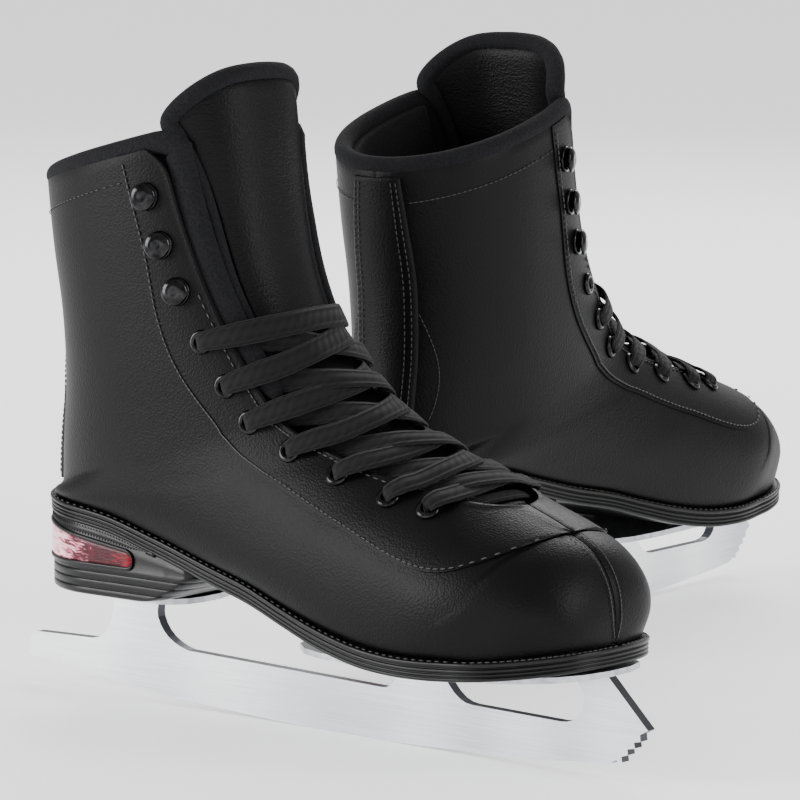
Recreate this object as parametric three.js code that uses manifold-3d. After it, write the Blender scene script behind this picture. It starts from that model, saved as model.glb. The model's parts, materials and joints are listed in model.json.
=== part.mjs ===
import * as THREE from 'three';
import { mergeVertices } from 'three/addons/utils/BufferGeometryUtils.js';
import Module from 'manifold-3d';

// A pair of lace-up figure skates, each standing on its own blade.
// One skate is drawn in its own frame: x from heel to toe, y toward the wearer's left,
// z up from the ice. The left skate is the mirror image of the right one.

const wasm = await Module();
wasm.setup();
const { Manifold, Mesh: SolidMesh } = wasm;

// Driving dimensions, in millimetres
const CLEARANCE = 0.3;
const CURVED_CLEARANCE = 0.9;
const FEATHER_RISE = 1.9;
const BLADE_LENGTH = 290;
const BLADE_TAIL_X = -38.9;
const BLADE_THICKNESS = 4;
const ROCKER_RADIUS = 1230;
const ROCKER_X = 118;
const BLADE_BAR_HEIGHT = 19.5;
const PLATE_THICKNESS = 2.1;
const SOLE_LENGTH = 264;
const SOLE_HEEL_X = -17;
const HEEL_HALF_WIDTH = 31;
const BALL_HALF_WIDTH = 44.5;
const HEEL_BOTTOM_Z = 42.5;
const COLLAR_RISE = 1;
const LEATHER = 1.8;
const STIFFENER = 1.3;
const LINING = 4;
const FEATHER_INSET = 3.5;
const TONGUE_DEPTH = 6;
const TONGUE_DROP = 3;
const EYELET_MARGIN = 10.5;
const EYELET_FLANGE_RADIUS = 4.4;
const EYELET_BARREL_RADIUS = 2.9;
const EYELET_BORE_RADIUS = 2.0;
const FLANGE_SEAT = 0.8;
const FLANGE_TOP = 1.9;
const LACE_DIAMETER = 2.4;
const SCREW_HEAD_RADIUS = 4;
const SCREW_SHANK_RADIUS = 1.9;
const RIGHT_YAW = -40;
const LEFT_YAW = 54.2;
const LEFT_POSITION = [106.8, 58.7];

const HEEL_CAP = 32;
const TOE_CAP = 52;
const SOLE_TOE_X = SOLE_HEEL_X + SOLE_LENGTH;
const HEEL_CENTRE_X = SOLE_HEEL_X + HEEL_CAP;
const TOE_CENTRE_X = SOLE_TOE_X - TOE_CAP;
const TOE_POWER = 2.4;

// A smooth curve through [position, value] stations, held flat past both ends.
function through(stations) {
  return (at) => {
    const last = stations.length - 1;
    if (at <= stations[0][0]) return stations[0][1];
    if (at >= stations[last][0]) return stations[last][1];
    let k = 0;
    while (stations[k + 1][0] < at) k += 1;
    const slope = (i) => {
      const a = stations[Math.max(0, i - 1)];
      const b = stations[Math.min(last, i + 1)];
      return (b[1] - a[1]) / (b[0] - a[0]);
    };
    const [x0, y0] = stations[k];
    const [x1, y1] = stations[k + 1];
    const h = x1 - x0;
    const t = (at - x0) / h;
    const hermite = [2 * t ** 3 - 3 * t ** 2 + 1, t ** 3 - 2 * t ** 2 + t,
      -2 * t ** 3 + 3 * t ** 2, t ** 3 - t ** 2];
    return hermite[0] * y0 + hermite[1] * h * slope(k)
      + hermite[2] * y1 + hermite[3] * h * slope(k + 1);
  };
}

// Sole: outline in plan and its upper and lower faces along the foot.
const soleSide = through([[15, HEEL_HALF_WIDTH], [60, 30], [95, 33.5], [140, 41],
  [172, BALL_HALF_WIDTH], [195, 43]]);
const soleTop = through([[-17, 77], [25, 73], [50, 66.8], [75, 60.3], [98, 55.3], [115, 50.5],
  [135, 45.5], [155, 42], [176, 40.7], [200, 41.6], [222, 43.6], [247, 46.2]]);
const soleBottom = through([[-17, 71.3], [25, 67], [50, 60.5], [75, 53.8], [98, 48.8], [115, 44],
  [135, 38.6], [155, 35], [172, 34], [190, 34.2], [215, 36.3], [247, 39.8]]);
const plateTop = through([[104, 33.6], [172, 33.65], [190, 33.9], [215, 36], [240, 38.6]]);

function soleHalfWidth(x, inset) {
  const side = soleSide(x) - inset;
  if (x < HEEL_CENTRE_X) {
    const reach = Math.min(1, (HEEL_CENTRE_X - x) / (HEEL_CAP - inset));
    return side * Math.sqrt(1 - reach ** 2);
  }
  if (x > TOE_CENTRE_X) {
    const reach = Math.min(1, (x - TOE_CENTRE_X) / (TOE_CAP - inset));
    return side * (1 - reach ** TOE_POWER) ** (1 / TOE_POWER);
  }
  return side;
}

// Where the upper meets the sole, going round the heel and forward to the toe tip.
const featherX = through([[7, HEEL_CENTRE_X], [8, 60], [9, 102], [10, 143], [11, 178], [12, 200]]);
function feather(v) {
  if (v <= 7) {
    const turn = THREE.MathUtils.degToRad(45 * (v - 5));
    const x = HEEL_CENTRE_X - (HEEL_CAP - FEATHER_INSET) * Math.cos(turn);
    return [x, (HEEL_HALF_WIDTH - FEATHER_INSET) * Math.sin(turn), soleTop(x) + FEATHER_RISE];
  }
  if (v <= 12) {
    const x = featherX(v);
    return [x, soleHalfWidth(x, FEATHER_INSET), soleTop(x) + FEATHER_RISE];
  }
  const turn = THREE.MathUtils.degToRad(4 + 86 * (v - 12) / 3);
  const x = TOE_CENTRE_X + (TOE_CAP - FEATHER_INSET) * Math.sin(turn) ** (2 / TOE_POWER);
  return [x, soleHalfWidth(x, FEATHER_INSET), soleTop(x) + FEATHER_RISE];
}

// Boot shape: section v runs from above the collar (-1) by the heel (5) to the toe tip (15).
const frontX = through([[-1, 80], [0, 84], [1, 87], [2, 93], [3, 104], [4, 118], [5, 130],
  [6, 142], [7, 156], [8, 170], [9, 184], [10, 198], [11, 214], [12, 231], [13, 241],
  [14, 244.3], [15, 243.5]]);
const frontZ = through([[-1, 238], [0, 212], [1, 187], [2, 163], [3, 143], [4, 129], [5, 120.5],
  [6, 113.5], [7, 107], [8, 101], [9, 95.5], [10, 90], [11, 84.7], [12, 78], [13, 68],
  [14, 57], [15, 46.6]]);
const backX = through([[-1, -15], [0, -14], [1, -12], [2, -9], [3, -9], [4, -12], [5, -13.5]]);
const backZ = through([[-1, 211], [0, 187], [1, 165], [2, 142], [3, 118], [4, 97],
  [5, soleTop(-13.5) + FEATHER_RISE]]);
const halfWidth = through([[-1, 41], [0, 40], [1, 39], [2, 38], [3, 37], [4, 36], [5, 35.5],
  [6, 35.5], [7, 36], [8, 38], [9, 41], [10, 43.5], [11, 44], [12, 40.8], [13, 34.8],
  [14, 21.8], [15, 1]]);
const widestAt = through([[0, 0.5], [5, 0.5], [7, 0.55], [9, 0.6], [11, 0.66], [15, 0.7]]);
const frontPower = through([[0, 2.5], [3, 2.5], [6, 2.2], [15, 2.3]]);
const BACK_POWER = 2.1;
const lowerEdge = through([[5, 1], [6, 1], [7, 0.93], [8, 0.91], [14, 0.91], [15, 0.9]]);

const lift = (z) => z * COLLAR_RISE;

// A point of the boot's outer face; t goes from the middle of the front (0) to the lower edge (1).
function bootPoint(v, t) {
  const front = [frontX(v), lift(frontZ(v))];
  const back = v < 5 ? [backX(v), 0, lift(backZ(v))] : feather(v);
  const widest = widestAt(v);
  const wide = halfWidth(v);
  const angle = Math.abs(t) * Math.PI;
  let along;
  let out;
  if (angle <= Math.PI / 2) {
    const power = 2 / frontPower(v);
    along = widest * (1 - Math.cos(angle) ** power);
    out = wide * Math.sin(angle) ** power;
  } else {
    const power = 2 / BACK_POWER;
    const turn = angle - Math.PI / 2;
    along = widest + (1 - widest) * Math.sin(turn) ** power;
    out = back[1] + (wide - back[1]) * Math.max(0, Math.cos(turn)) ** power;
  }
  const x = front[0] + (back[0] - front[0]) * along;
  const z = front[1] + (back[2] - front[1]) * along;
  return new THREE.Vector3(x, Math.sign(t || 1) * out, z);
}

// The same point moved along the outward normal.
function offsetPoint(v, t, distance) {
  const step = 0.012;
  const dv = bootPoint(v + step, t).sub(bootPoint(v - step, t));
  const reach = Math.min(t + step, 1);
  const dt = bootPoint(v, reach).sub(bootPoint(v, reach - 2 * step));
  const normal = new THREE.Vector3().crossVectors(dv, dt).normalize();
  return bootPoint(v, t).addScaledVector(normal, distance);
}

// t at which the section reaches a given half width on its front part.
function tAtWidth(v, width) {
  const share = Math.min(1, Math.max(0, width / halfWidth(v)));
  return Math.asin(share ** (frontPower(v) / 2)) / Math.PI;
}

const throatHalfWidth = through([[0, 36], [1, 33.5], [2, 31], [3, 29], [4, 28], [5, 27], [6, 26],
  [7, 25], [8, 23.5], [9, 20], [9.6, 14], [9.9, 7], [10, 0.3]]);
const edgeT = (v) => tAtWidth(v, throatHalfWidth(v));
const seamT = through([[0, 0.47], [2.5, 0.385], [5, 0.345], [6.3, 0.35], [8, 0.375], [10, 0.39], [10.6, 0.32],
  [11, 0.17], [11.15, 0.02], [12, 0.004]]);

// Closed sheet between two faces given as functions of row and column.
function sheet(rows, columns, outerAt, innerAt) {
  const position = [];
  const index = [];
  for (const face of [outerAt, innerAt]) {
    for (let i = 0; i <= rows; i += 1) {
      for (let j = 0; j <= columns; j += 1) position.push(...face(i / rows, j / columns).toArray());
    }
  }
  const wide = columns + 1;
  const layer = (rows + 1) * wide;
  const quad = (a, b, c, d) => index.push(a, b, c, a, c, d);
  for (let i = 0; i < rows; i += 1) {
    for (let j = 0; j < columns; j += 1) {
      const a = i * wide + j;
      quad(a, a + wide, a + wide + 1, a + 1);
      quad(a + layer, a + 1 + layer, a + wide + 1 + layer, a + wide + layer);
    }
  }
  for (let i = 0; i < rows; i += 1) {
    const a = i * wide;
    const b = a + columns;
    quad(a, a + layer, a + wide + layer, a + wide);
    quad(b, b + wide, b + wide + layer, b + layer);
  }
  for (let j = 0; j < columns; j += 1) {
    const b = rows * wide + j;
    quad(j, j + 1, j + 1 + layer, j + layer);
    quad(b, b + layer, b + 1 + layer, b + 1);
  }
  return closed(position, index);
}

function closed(position, index) {
  const geometry = new THREE.BufferGeometry();
  geometry.setAttribute('position', new THREE.Float32BufferAttribute(position, 3));
  geometry.setIndex(index);
  if (signedVolume(geometry) < 0) {
    for (let k = 0; k < index.length; k += 3) [index[k], index[k + 1]] = [index[k + 1], index[k]];
    geometry.setIndex(index);
  }
  return geometry;
}

function signedVolume(geometry) {
  const at = geometry.getAttribute('position');
  const corner = [0, 1, 2].map(() => new THREE.Vector3());
  let volume = 0;
  for (let k = 0; k < geometry.index.count; k += 3) {
    corner.forEach((point, c) => point.fromBufferAttribute(at, geometry.index.getX(k + c)));
    volume += corner[0].dot(new THREE.Vector3().crossVectors(corner[1], corner[2])) / 6;
  }
  return volume;
}

function toSolid(geometry) {
  const bare = new THREE.BufferGeometry();
  bare.setAttribute('position', geometry.getAttribute('position').clone());
  if (geometry.index) bare.setIndex(geometry.index.clone());
  const merged = mergeVertices(bare, 1e-4);
  return Manifold.ofMesh(new SolidMesh({
    numProp: 3,
    vertProperties: Float32Array.from(merged.getAttribute('position').array),
    triVerts: Uint32Array.from(merged.index.array),
  }));
}

function fromSolid(solid) {
  const mesh = solid.getMesh();
  const geometry = new THREE.BufferGeometry();
  geometry.setAttribute('position', new THREE.BufferAttribute(Float32Array.from(mesh.vertProperties), 3));
  geometry.setIndex(new THREE.BufferAttribute(Uint32Array.from(mesh.triVerts), 1));
  return geometry;
}

const cut = (geometry, tools) => fromSolid(tools.reduce((left, tool) => left.subtract(toSolid(tool)),
  toSolid(geometry)));
const join = (parts) => fromSolid(parts.map(toSolid).reduce((whole, part) => whole.add(part)));

// Flat layer whose outline, top and bottom all follow the length of the foot.
function layer(x0, x1, halfAt, topAt, bottomAt, steps = 14) {
  const xAt = (u) => x0 + (x1 - x0) * (1 - Math.cos(Math.PI * (0.03 + 0.94 * u))) / 2;
  const face = (zAt) => (u, k) => {
    const x = xAt(u);
    return new THREE.Vector3(x, halfAt(x) * (2 * k - 1), zAt(x));
  };
  return sheet(steps, 2, face(topAt), face(bottomAt));
}

// Turned piece along a direction, from a closed profile of [radius, height] points.
function turned(profile, segments, origin, direction) {
  const geometry = new THREE.LatheGeometry(profile.map(([r, h]) => new THREE.Vector2(r, h)), segments);
  const turn = new THREE.Quaternion().setFromUnitVectors(new THREE.Vector3(0, 1, 0), direction);
  return geometry.applyQuaternion(turn).translate(origin.x, origin.y, origin.z);
}

const rod = (radius, low, high, segments, origin, direction) => turned(
  [[0, low], [radius, low], [radius, high], [0, high]], segments, origin, direction);
const UP = new THREE.Vector3(0, 0, 1);

// Panels of the upper, for one side (+1 toward the wearer's left in the right boot).
function keepToSide(point, side) {
  if (point.y * side < CLEARANCE / 2) point.y = side * CLEARANCE / 2;
  return point;
}

function panel(v0, v1, fromT, toT, side, outer, inner, rows, columns) {
  const face = (distance) => (a, b) => {
    const v = v0 + (v1 - v0) * a;
    const t = fromT(v) + (toT(v) - fromT(v)) * b;
    const point = offsetPoint(v, Math.max(t, 0.002), distance);
    point.y *= side;
    return keepToSide(point, side);
  };
  return sheet(rows, columns, face(outer), face(inner));
}

// Sheet that crosses the middle plane, from one side round to the other.
function wrap(v0, v1, tAt, outer, inner, rows, columns) {
  const face = (distance) => (a, b) => {
    const v = v0 + (v1 - v0) * a;
    const across = 2 * b - 1;
    const t = Math.min(0.9995, Math.max(0.0015, tAt(v, Math.abs(across))));
    const away = typeof distance === 'function' ? distance(a) : distance;
    const point = offsetPoint(v, t, away);
    if (across === 0) point.y = 0;
    point.y *= Math.sign(across || 1);
    return point;
  };
  return sheet(rows, columns, face(outer), face(inner));
}

// The toe of the last is drawn in: shorter and slimmer the nearer the tip.
const TOE_DRAW_FROM_X = 180;
const TOE_DRAW_BACK = 9;
const TOE_DRAW_SLIM = 0.16;
function drawnToe(geometry) {
  const at = geometry.getAttribute('position');
  for (let k = 0; k < at.count; k += 1) {
    const x = at.getX(k);
    const share = (Math.max(0, x - TOE_DRAW_FROM_X) / (SOLE_TOE_X - TOE_DRAW_FROM_X)) ** 2;
    at.setX(k, x - TOE_DRAW_BACK * share);
    at.setY(k, at.getY(k) * (1 - TOE_DRAW_SLIM * share));
  }
  return geometry;
}

const seamGap = through([[0, 0.007], [10, 0.007], [10.5, 0.03], [12, 0.03]]);
const quarter = (side) => panel(0, 14.9, (v) => seamT(v) + seamGap(v) / 2, lowerEdge, side,
  0, -LEATHER, 22, 6);
const facingBlank = (side) => panel(0, 10.98, edgeT, (v) => Math.max(seamT(v) - seamGap(v), edgeT(v) + 0.015),
  side, 0, -LEATHER, 18, 3);

// Eyelets and hooks stand a fixed distance behind the facing's edge.
const EYELET_SECTIONS = [2.88, 3.8, 4.85, 6.3, 7.45, 8.45, 9.15];
const HOOK_SECTIONS = [0.6, 1.33, 2.04];

function eyeletPlace(v, side, margin = EYELET_MARGIN) {
  let t = edgeT(v);
  let walked = 0;
  while (walked < margin) {
    walked += bootPoint(v, t).distanceTo(bootPoint(v, t + 0.002));
    t += 0.002;
  }
  const point = bootPoint(v, t);
  const normal = offsetPoint(v, t, 1).sub(point).normalize();
  point.y *= side;
  normal.y *= side;
  return { point, normal, t };
}

const facingHoles = (side) => [...HOOK_SECTIONS, ...EYELET_SECTIONS].map((v) => {
  const { point, normal } = eyeletPlace(v, side);
  return rod(EYELET_BARREL_RADIUS + CLEARANCE * 3, -4, 3, 6, point, normal);
});

function eyeletRow(side) {
  const tapeTop = -LEATHER - CURVED_CLEARANCE - CLEARANCE;
  const tapeFoot = tapeTop - 1;
  const tape = panel(0.35, 9.4, (v) => eyeletPlace(v, 1, EYELET_MARGIN - 3.2).t,
    (v) => eyeletPlace(v, 1, EYELET_MARGIN + 3.2).t, side, tapeTop, tapeFoot, 8, 1);
  const parts = [tape];
  const bores = [];
  for (const v of EYELET_SECTIONS) {
    const { point, normal } = eyeletPlace(v, side);
    parts.push(turned([[0, tapeFoot], [EYELET_BARREL_RADIUS, tapeFoot],
      [EYELET_BARREL_RADIUS, FLANGE_SEAT], [EYELET_FLANGE_RADIUS, FLANGE_SEAT],
      [0, FLANGE_TOP]], 8, point, normal));
    bores.push(rod(EYELET_BORE_RADIUS, -7, 4, 6, point, normal));
  }
  for (const v of HOOK_SECTIONS) {
    const { point, normal, t } = eyeletPlace(v, side);
    parts.push(turned([[0, tapeFoot], [EYELET_BARREL_RADIUS, tapeFoot],
      [EYELET_BARREL_RADIUS, FLANGE_SEAT], [5, FLANGE_SEAT], [0, FLANGE_TOP]], 6, point, normal));
    const rearward = bootPoint(v, t + 0.03);
    rearward.y *= side;
    rearward.sub(point).normalize();
    parts.push(hook(point, normal, rearward));
  }
  return cut(join(parts), bores);
}

// Bent hook: a foot rising from the base disc and a lip turned back over the lace.
function hook(point, normal, rearward) {
  const shape = new THREE.Shape();
  const outline = [[-3, 1.2], [-1.2, 1.2], [-1, 3.6], [0.4, 5], [3.4, 5.6], [3.6, 7], [0.2, 6.8],
    [-2.6, 5]];
  outline.forEach(([a, b], k) => (k ? shape.lineTo(a, b) : shape.moveTo(a, b)));
  const geometry = new THREE.ExtrudeGeometry(shape, { depth: 5, bevelEnabled: false });
  geometry.translate(0, 0, -2.5);
  const side = new THREE.Vector3().crossVectors(rearward, normal).normalize();
  const ahead = new THREE.Vector3().crossVectors(normal, side).normalize();
  const frame = new THREE.Matrix4().makeBasis(ahead, normal, side).setPosition(point);
  return geometry.applyMatrix4(frame);
}

// One lace, laid in a criss-cross over the seven eyelet pairs with a bar at the bottom pair.
function lace() {
  const points = [];
  const height = 5.4;
  const seated = 3.3;
  const over = (v, side, away) => {
    const { point, normal } = eyeletPlace(v, side, EYELET_MARGIN - 1);
    return point.addScaledVector(normal, away);
  };
  const run = (side, crossing) => {
    const route = [];
    EYELET_SECTIONS.forEach((v, k) => {
      const here = k % 2 ? -side : side;
      route.push(over(v, here, k < 6 ? height : seated));
      const next = EYELET_SECTIONS[k + 1];
      if (next) {
        const middle = offsetPoint((v + next) / 2, 0.0015, crossing);
        middle.y = 0;
        route.push(middle);
      }
    });
    return route;
  };
  points.push(...run(1, 6));
  const bottom = offsetPoint(EYELET_SECTIONS[6] + 0.15, 0.0015, 3.4);
  bottom.y = 0;
  points.push(bottom);
  points.push(...run(-1, 9.5).reverse());
  const path = new THREE.CatmullRomCurve3(points, false, 'centripetal');
  const section = new THREE.Shape();
  for (let k = 0; k < 8; k += 1) {
    const turn = (k + 0.5) * Math.PI / 4;
    const at = [Math.cos(turn) * LACE_DIAMETER / 2, Math.sin(turn) * LACE_DIAMETER / 2];
    if (k) section.lineTo(...at);
    else section.moveTo(...at);
  }
  return new THREE.ExtrudeGeometry(section, { steps: 44, extrudePath: path, bevelEnabled: false });
}

// Tongue: padded sheet under the laces, hinged where the eyelets end.
const TONGUE_FOLD = 2.42;
const TONGUE_FOLD_GAP = 0.02;
const tongueHalf = through([[-0.93, 12], [-0.85, 22], [-0.65, 30], [-0.3, 34], [0, 34.4], [1, 32.4],
  [2, 30], [3, 28.2], [4, 27.2], [5, 26.2], [6, 25.2], [7, 24.2], [8, 22.6], [9, 18.8],
  [9.6, 12.6], [9.8, 7]]);
const tongue = (v0, v1, rows) => wrap(v0, v1, (v, across) => tAtWidth(v, across * tongueHalf(v)),
  -TONGUE_DROP, -TONGUE_DROP - TONGUE_DEPTH, rows, 6);

const LINING_DEPTH = LEATHER + 2 * CURVED_CLEARANCE + STIFFENER;
const lining = () => wrap(0, 4.72, (v, across) => {
  const start = eyeletPlace(v, 1, EYELET_MARGIN + 6.5).t;
  return 1 - (1 - start) * across;
}, -LINING_DEPTH, -LINING_DEPTH - LINING, 8, 16);

const binding = () => {
  const round = (crown, level) => (a) => crown + (level - crown) * Math.min(1, a * 2.2);
  return wrap(-0.24, -0.013, (v, across) => 1 - (1 - tAtWidth(0, 35.6)) * across,
    round(-1.6, 0.2), round(-4.6, -6.8), 3, 20);
};

const backstay = () => wrap(0.06, 4.85, (v, across) => 1 - 0.115 * across,
  CURVED_CLEARANCE + 1.4, CURVED_CLEARANCE + 0.1, 12, 4);
const heelCounter = () => wrap(3.3, 4.75, (v, across) => 1 - 0.36 * across,
  -LEATHER - CURVED_CLEARANCE, -LEATHER - CURVED_CLEARANCE - STIFFENER, 4, 10);
const toeBox = () => wrap(11.4, 13.7, (v, across) => 0.78 * across,
  -LEATHER - CURVED_CLEARANCE, -LEATHER - CURVED_CLEARANCE - STIFFENER, 5, 10);

// Sole unit
const HEEL_BREAST_FOOT_X = 47;
const HEEL_BREAST_TOP_X = 70;
const heelTop = (x) => soleBottom(x) - CLEARANCE;
function heelBottom(x) {
  const share = (x - HEEL_BREAST_FOOT_X) / (HEEL_BREAST_TOP_X - HEEL_BREAST_FOOT_X);
  const rise = Math.max(0, share) ** 1.6;
  return HEEL_BOTTOM_Z + (heelTop(HEEL_BREAST_TOP_X) - 1 - HEEL_BOTTOM_Z) * rise;
}

const LENS_FRONT_X = 39;
const LENS_DEPTH = 3;
const LENS_FOOT_Z = 53.5;
const lensTop = through([[-17, 68.2], [LENS_FRONT_X, 60.2]]);

// Band that follows the heel's outline between two depths, from side to rear to side.
function heelBand(depthOut, depthIn, front, low, high) {
  const at = (inset, zAt) => (u) => {
    const turn = (2 * u - 1) * 1.5;
    const reach = Math.abs(turn) / 1.5;
    const arc = Math.min(1, reach / 0.62);
    const angle = arc * Math.PI / 2;
    let x = HEEL_CENTRE_X - (HEEL_CAP - inset) * Math.cos(angle);
    let y = (HEEL_HALF_WIDTH - inset) * Math.sin(angle);
    if (reach > 0.62) {
      x = HEEL_CENTRE_X + (front - HEEL_CENTRE_X) * (reach - 0.62) / 0.38;
      y = soleHalfWidth(x, inset);
    }
    return new THREE.Vector3(x, y * Math.sign(turn || 1), zAt(x));
  };
  const face = (inset) => (a, b) => {
    const point = at(inset, (x) => low(x) + (high(x) - low(x)) * a)(b);
    return point;
  };
  return sheet(1, 20, face(depthOut), face(depthIn));
}

const HEEL_INSET = 1.2;
const heelSolid = () => layer(SOLE_HEEL_X + HEEL_INSET, HEEL_BREAST_TOP_X,
  (x) => soleHalfWidth(x, HEEL_INSET), heelTop, heelBottom, 14);
const lensPocket = () => heelBand(-2, HEEL_INSET + LENS_DEPTH, LENS_FRONT_X + CLEARANCE,
  () => LENS_FOOT_Z - CLEARANCE, (x) => lensTop(x) + CLEARANCE);
const heelLens = () => heelBand(HEEL_INSET, HEEL_INSET + LENS_DEPTH - CLEARANCE, LENS_FRONT_X,
  () => LENS_FOOT_Z, (x) => lensTop(x));

const HEEL_PLATE_TOP = HEEL_BOTTOM_Z - CLEARANCE;
const HEEL_SCREWS = [[10, 13], [10, -13], [38, 13], [38, -13]];
const TOE_SCREWS = [[163, 19], [163, -19], [212, 19], [212, -19]];
const screwHole = (x, y, radius, low, high) => rod(radius, low, high, 8, new THREE.Vector3(x, y, 0), UP);

function plateBlank(x0, x1, half, topAt) {
  const middle = (x0 + x1) / 2;
  const reach = (x1 - x0) / 2;
  const outline = (x) => half * (1 - Math.min(1, Math.abs(x - middle) / reach) ** 5) ** 0.4;
  return layer(x0, x1, outline, topAt, (x) => topAt(x) - PLATE_THICKNESS, 12);
}

// Flat-bottomed screw: its head closes the countersink flush with the plate's lower face.
function screw(x, y, seat, length) {
  const foot = seat - PLATE_THICKNESS;
  return turned([[0, foot], [SCREW_HEAD_RADIUS, foot], [SCREW_HEAD_RADIUS, foot + 0.5],
    [SCREW_SHANK_RADIUS, seat - 0.2], [SCREW_SHANK_RADIUS, foot + length - 2], [0, foot + length]],
  8, new THREE.Vector3(x, y, 0), UP);
}

function countersink(x, y, seat) {
  const foot = seat - PLATE_THICKNESS;
  const grow = CLEARANCE;
  return turned([[0, foot - 2], [SCREW_HEAD_RADIUS + grow, foot - 2],
    [SCREW_HEAD_RADIUS + grow, foot + 0.5 + grow], [SCREW_SHANK_RADIUS + grow, seat - 0.2 + grow],
    [SCREW_SHANK_RADIUS + grow, seat + 14], [0, seat + 14]], 8, new THREE.Vector3(x, y, 0), UP);
}

const heelPlate = () => cut(plateBlank(-4, 52, 19, () => HEEL_PLATE_TOP),
  HEEL_SCREWS.map(([x, y]) => countersink(x, y, HEEL_PLATE_TOP)));
const toePlate = () => cut(plateBlank(104, 238, 27, plateTop),
  TOE_SCREWS.map(([x, y]) => countersink(x, y, plateTop(x))));

const soleSlab = () => layer(SOLE_HEEL_X, SOLE_TOE_X, (x) => soleHalfWidth(x, 0), soleTop, soleBottom, 24);
const outsole = () => cut(drawnToe(soleSlab()), TOE_SCREWS.map(([x, y]) => screwHole(x, y, SCREW_SHANK_RADIUS + CLEARANCE, 20, 40.9)));
const heelBlock = () => cut(cut(heelSolid(), [lensPocket()]),
  HEEL_SCREWS.map(([x, y]) => screwHole(x, y, SCREW_SHANK_RADIUS + CLEARANCE, 30, 52)));

const BOARD_INSET = 5.6;
const boardTop = (x) => soleTop(x) + CLEARANCE + 1.8;
const insoleBoard = () => layer(SOLE_HEEL_X + BOARD_INSET, SOLE_TOE_X - BOARD_INSET,
  (x) => soleHalfWidth(x, BOARD_INSET), boardTop, (x) => soleTop(x) + CLEARANCE, 18);
const FOOTBED_INSET = 10.5;
const footbed = () => layer(SOLE_HEEL_X + FOOTBED_INSET, SOLE_TOE_X - FOOTBED_INSET,
  (x) => soleHalfWidth(x, FOOTBED_INSET), (x) => boardTop(x) + CLEARANCE + 3,
  (x) => boardTop(x) + CLEARANCE, 18);

// Blade: one flat steel runner with three stanchions and a toe pick, rockered along its foot.
function blade() {
  const rocker = (x) => (x - ROCKER_X) ** 2 / (2 * ROCKER_RADIUS);
  const grow = BLADE_LENGTH / 290;
  const at = (x) => BLADE_TAIL_X + (x + 38.9) * grow;
  const heelSeat = HEEL_PLATE_TOP - PLATE_THICKNESS - CLEARANCE;
  const toeSeat = (x) => plateTop(x) - PLATE_THICKNESS - CLEARANCE;
  const bar = BLADE_BAR_HEIGHT;
  const shape = new THREE.Shape();
  shape.moveTo(at(-38.9), rocker(-38.9) - 0.4);
  for (let k = 1; k <= 20; k += 1) {
    const x = -38.9 + (235 + 38.9) * k / 20;
    shape.lineTo(at(x), rocker(x));
  }
  const picks = [[237.6, 7.2], [240.2, 6.6], [239.9, 8.6], [242.7, 9.5], [242.4, 11.5],
    [245.7, 12.2], [245.2, 14.2], [248, 14.8], [247.7, 17.1], [251.1, 19]];
  picks.forEach(([x, z]) => shape.lineTo(at(x), z));
  shape.lineTo(at(234), toeSeat(234));
  shape.lineTo(at(219), toeSeat(219));
  shape.quadraticCurveTo(at(224.5), toeSeat(219) - 4, at(223.5), bar + 5);
  shape.quadraticCurveTo(at(222), bar - 2, at(214), bar - 2.2);
  shape.lineTo(at(175), bar - 1.6);
  shape.quadraticCurveTo(at(166), bar - 1.4, at(160), toeSeat(160));
  shape.lineTo(at(143), toeSeat(143));
  shape.quadraticCurveTo(at(141), bar - 0.6, at(134), bar - 0.5);
  shape.lineTo(at(42), bar + 1.2);
  shape.quadraticCurveTo(at(30), bar + 3.5, at(27), bar + 12);
  shape.quadraticCurveTo(at(26), bar + 17, at(30), heelSeat);
  shape.lineTo(at(5.5), heelSeat);
  shape.quadraticCurveTo(at(5), bar + 1, at(-6), bar + 0.2);
  shape.lineTo(at(-34), bar - 0.7);
  shape.quadraticCurveTo(at(-37.5), bar - 0.8, at(-37.8), bar - 4);
  const geometry = new THREE.ExtrudeGeometry(shape,
    { depth: BLADE_THICKNESS, bevelEnabled: false, curveSegments: 6 });
  geometry.rotateX(Math.PI / 2);
  return geometry.translate(0, BLADE_THICKNESS / 2, 0);
}

// The pieces of one skate, as name, geometry, colour, metalness and roughness.
function skatePieces() {
  const leather = ['#18181a', 0, 0.5];
  const cloth = ['#2b2c2e', 0, 0.95];
  const rubber = ['#101012', 0, 0.45];
  const steel = ['#d6d8da', 1, 0.3];
  const board = ['#7a6a52', 0, 0.9];
  const nickel = ['#26262b', 1, 0.25];
  const list = [
    ['blade', blade(), steel], ['heel_plate', heelPlate(), steel], ['toe_plate', toePlate(), steel],
    ['outsole', outsole(), rubber], ['heel_block', heelBlock(), rubber],
    ['heel_lens', heelLens(), ['#c0304a', 0, 0.2]],
    ['insole_board', drawnToe(insoleBoard()), board], ['footbed', drawnToe(footbed()), cloth],
    ['lining', lining(), cloth], ['collar_binding', binding(), cloth],
    ['backstay', backstay(), leather], ['heel_counter', heelCounter(), board],
    ['toe_box', drawnToe(toeBox()), board],
    ['tongue_lower', tongue(TONGUE_FOLD + TONGUE_FOLD_GAP, 9.72, 10), leather],
    ['tongue_upper', tongue(-0.93, TONGUE_FOLD - TONGUE_FOLD_GAP, 10), leather],
    ['lace', lace(), cloth],
  ];
  for (const [name, side] of [['outer', -1], ['inner', 1]]) {
    list.push([`${name}_quarter`, drawnToe(quarter(side)), leather]);
    list.push([`${name}_facing`, cut(drawnToe(facingBlank(side)), facingHoles(side)), leather]);
    list.push([`${name}_eyelets`, eyeletRow(side), nickel]);
  }
  HEEL_SCREWS.forEach(([x, y], k) => list.push(
    [`heel_screw_${k + 1}`, screw(x, y, HEEL_PLATE_TOP, 10), steel]));
  TOE_SCREWS.forEach(([x, y], k) => list.push(
    [`toe_screw_${k + 1}`, screw(x, y, plateTop(x), 6.6), steel]));
  return list;
}

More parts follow.
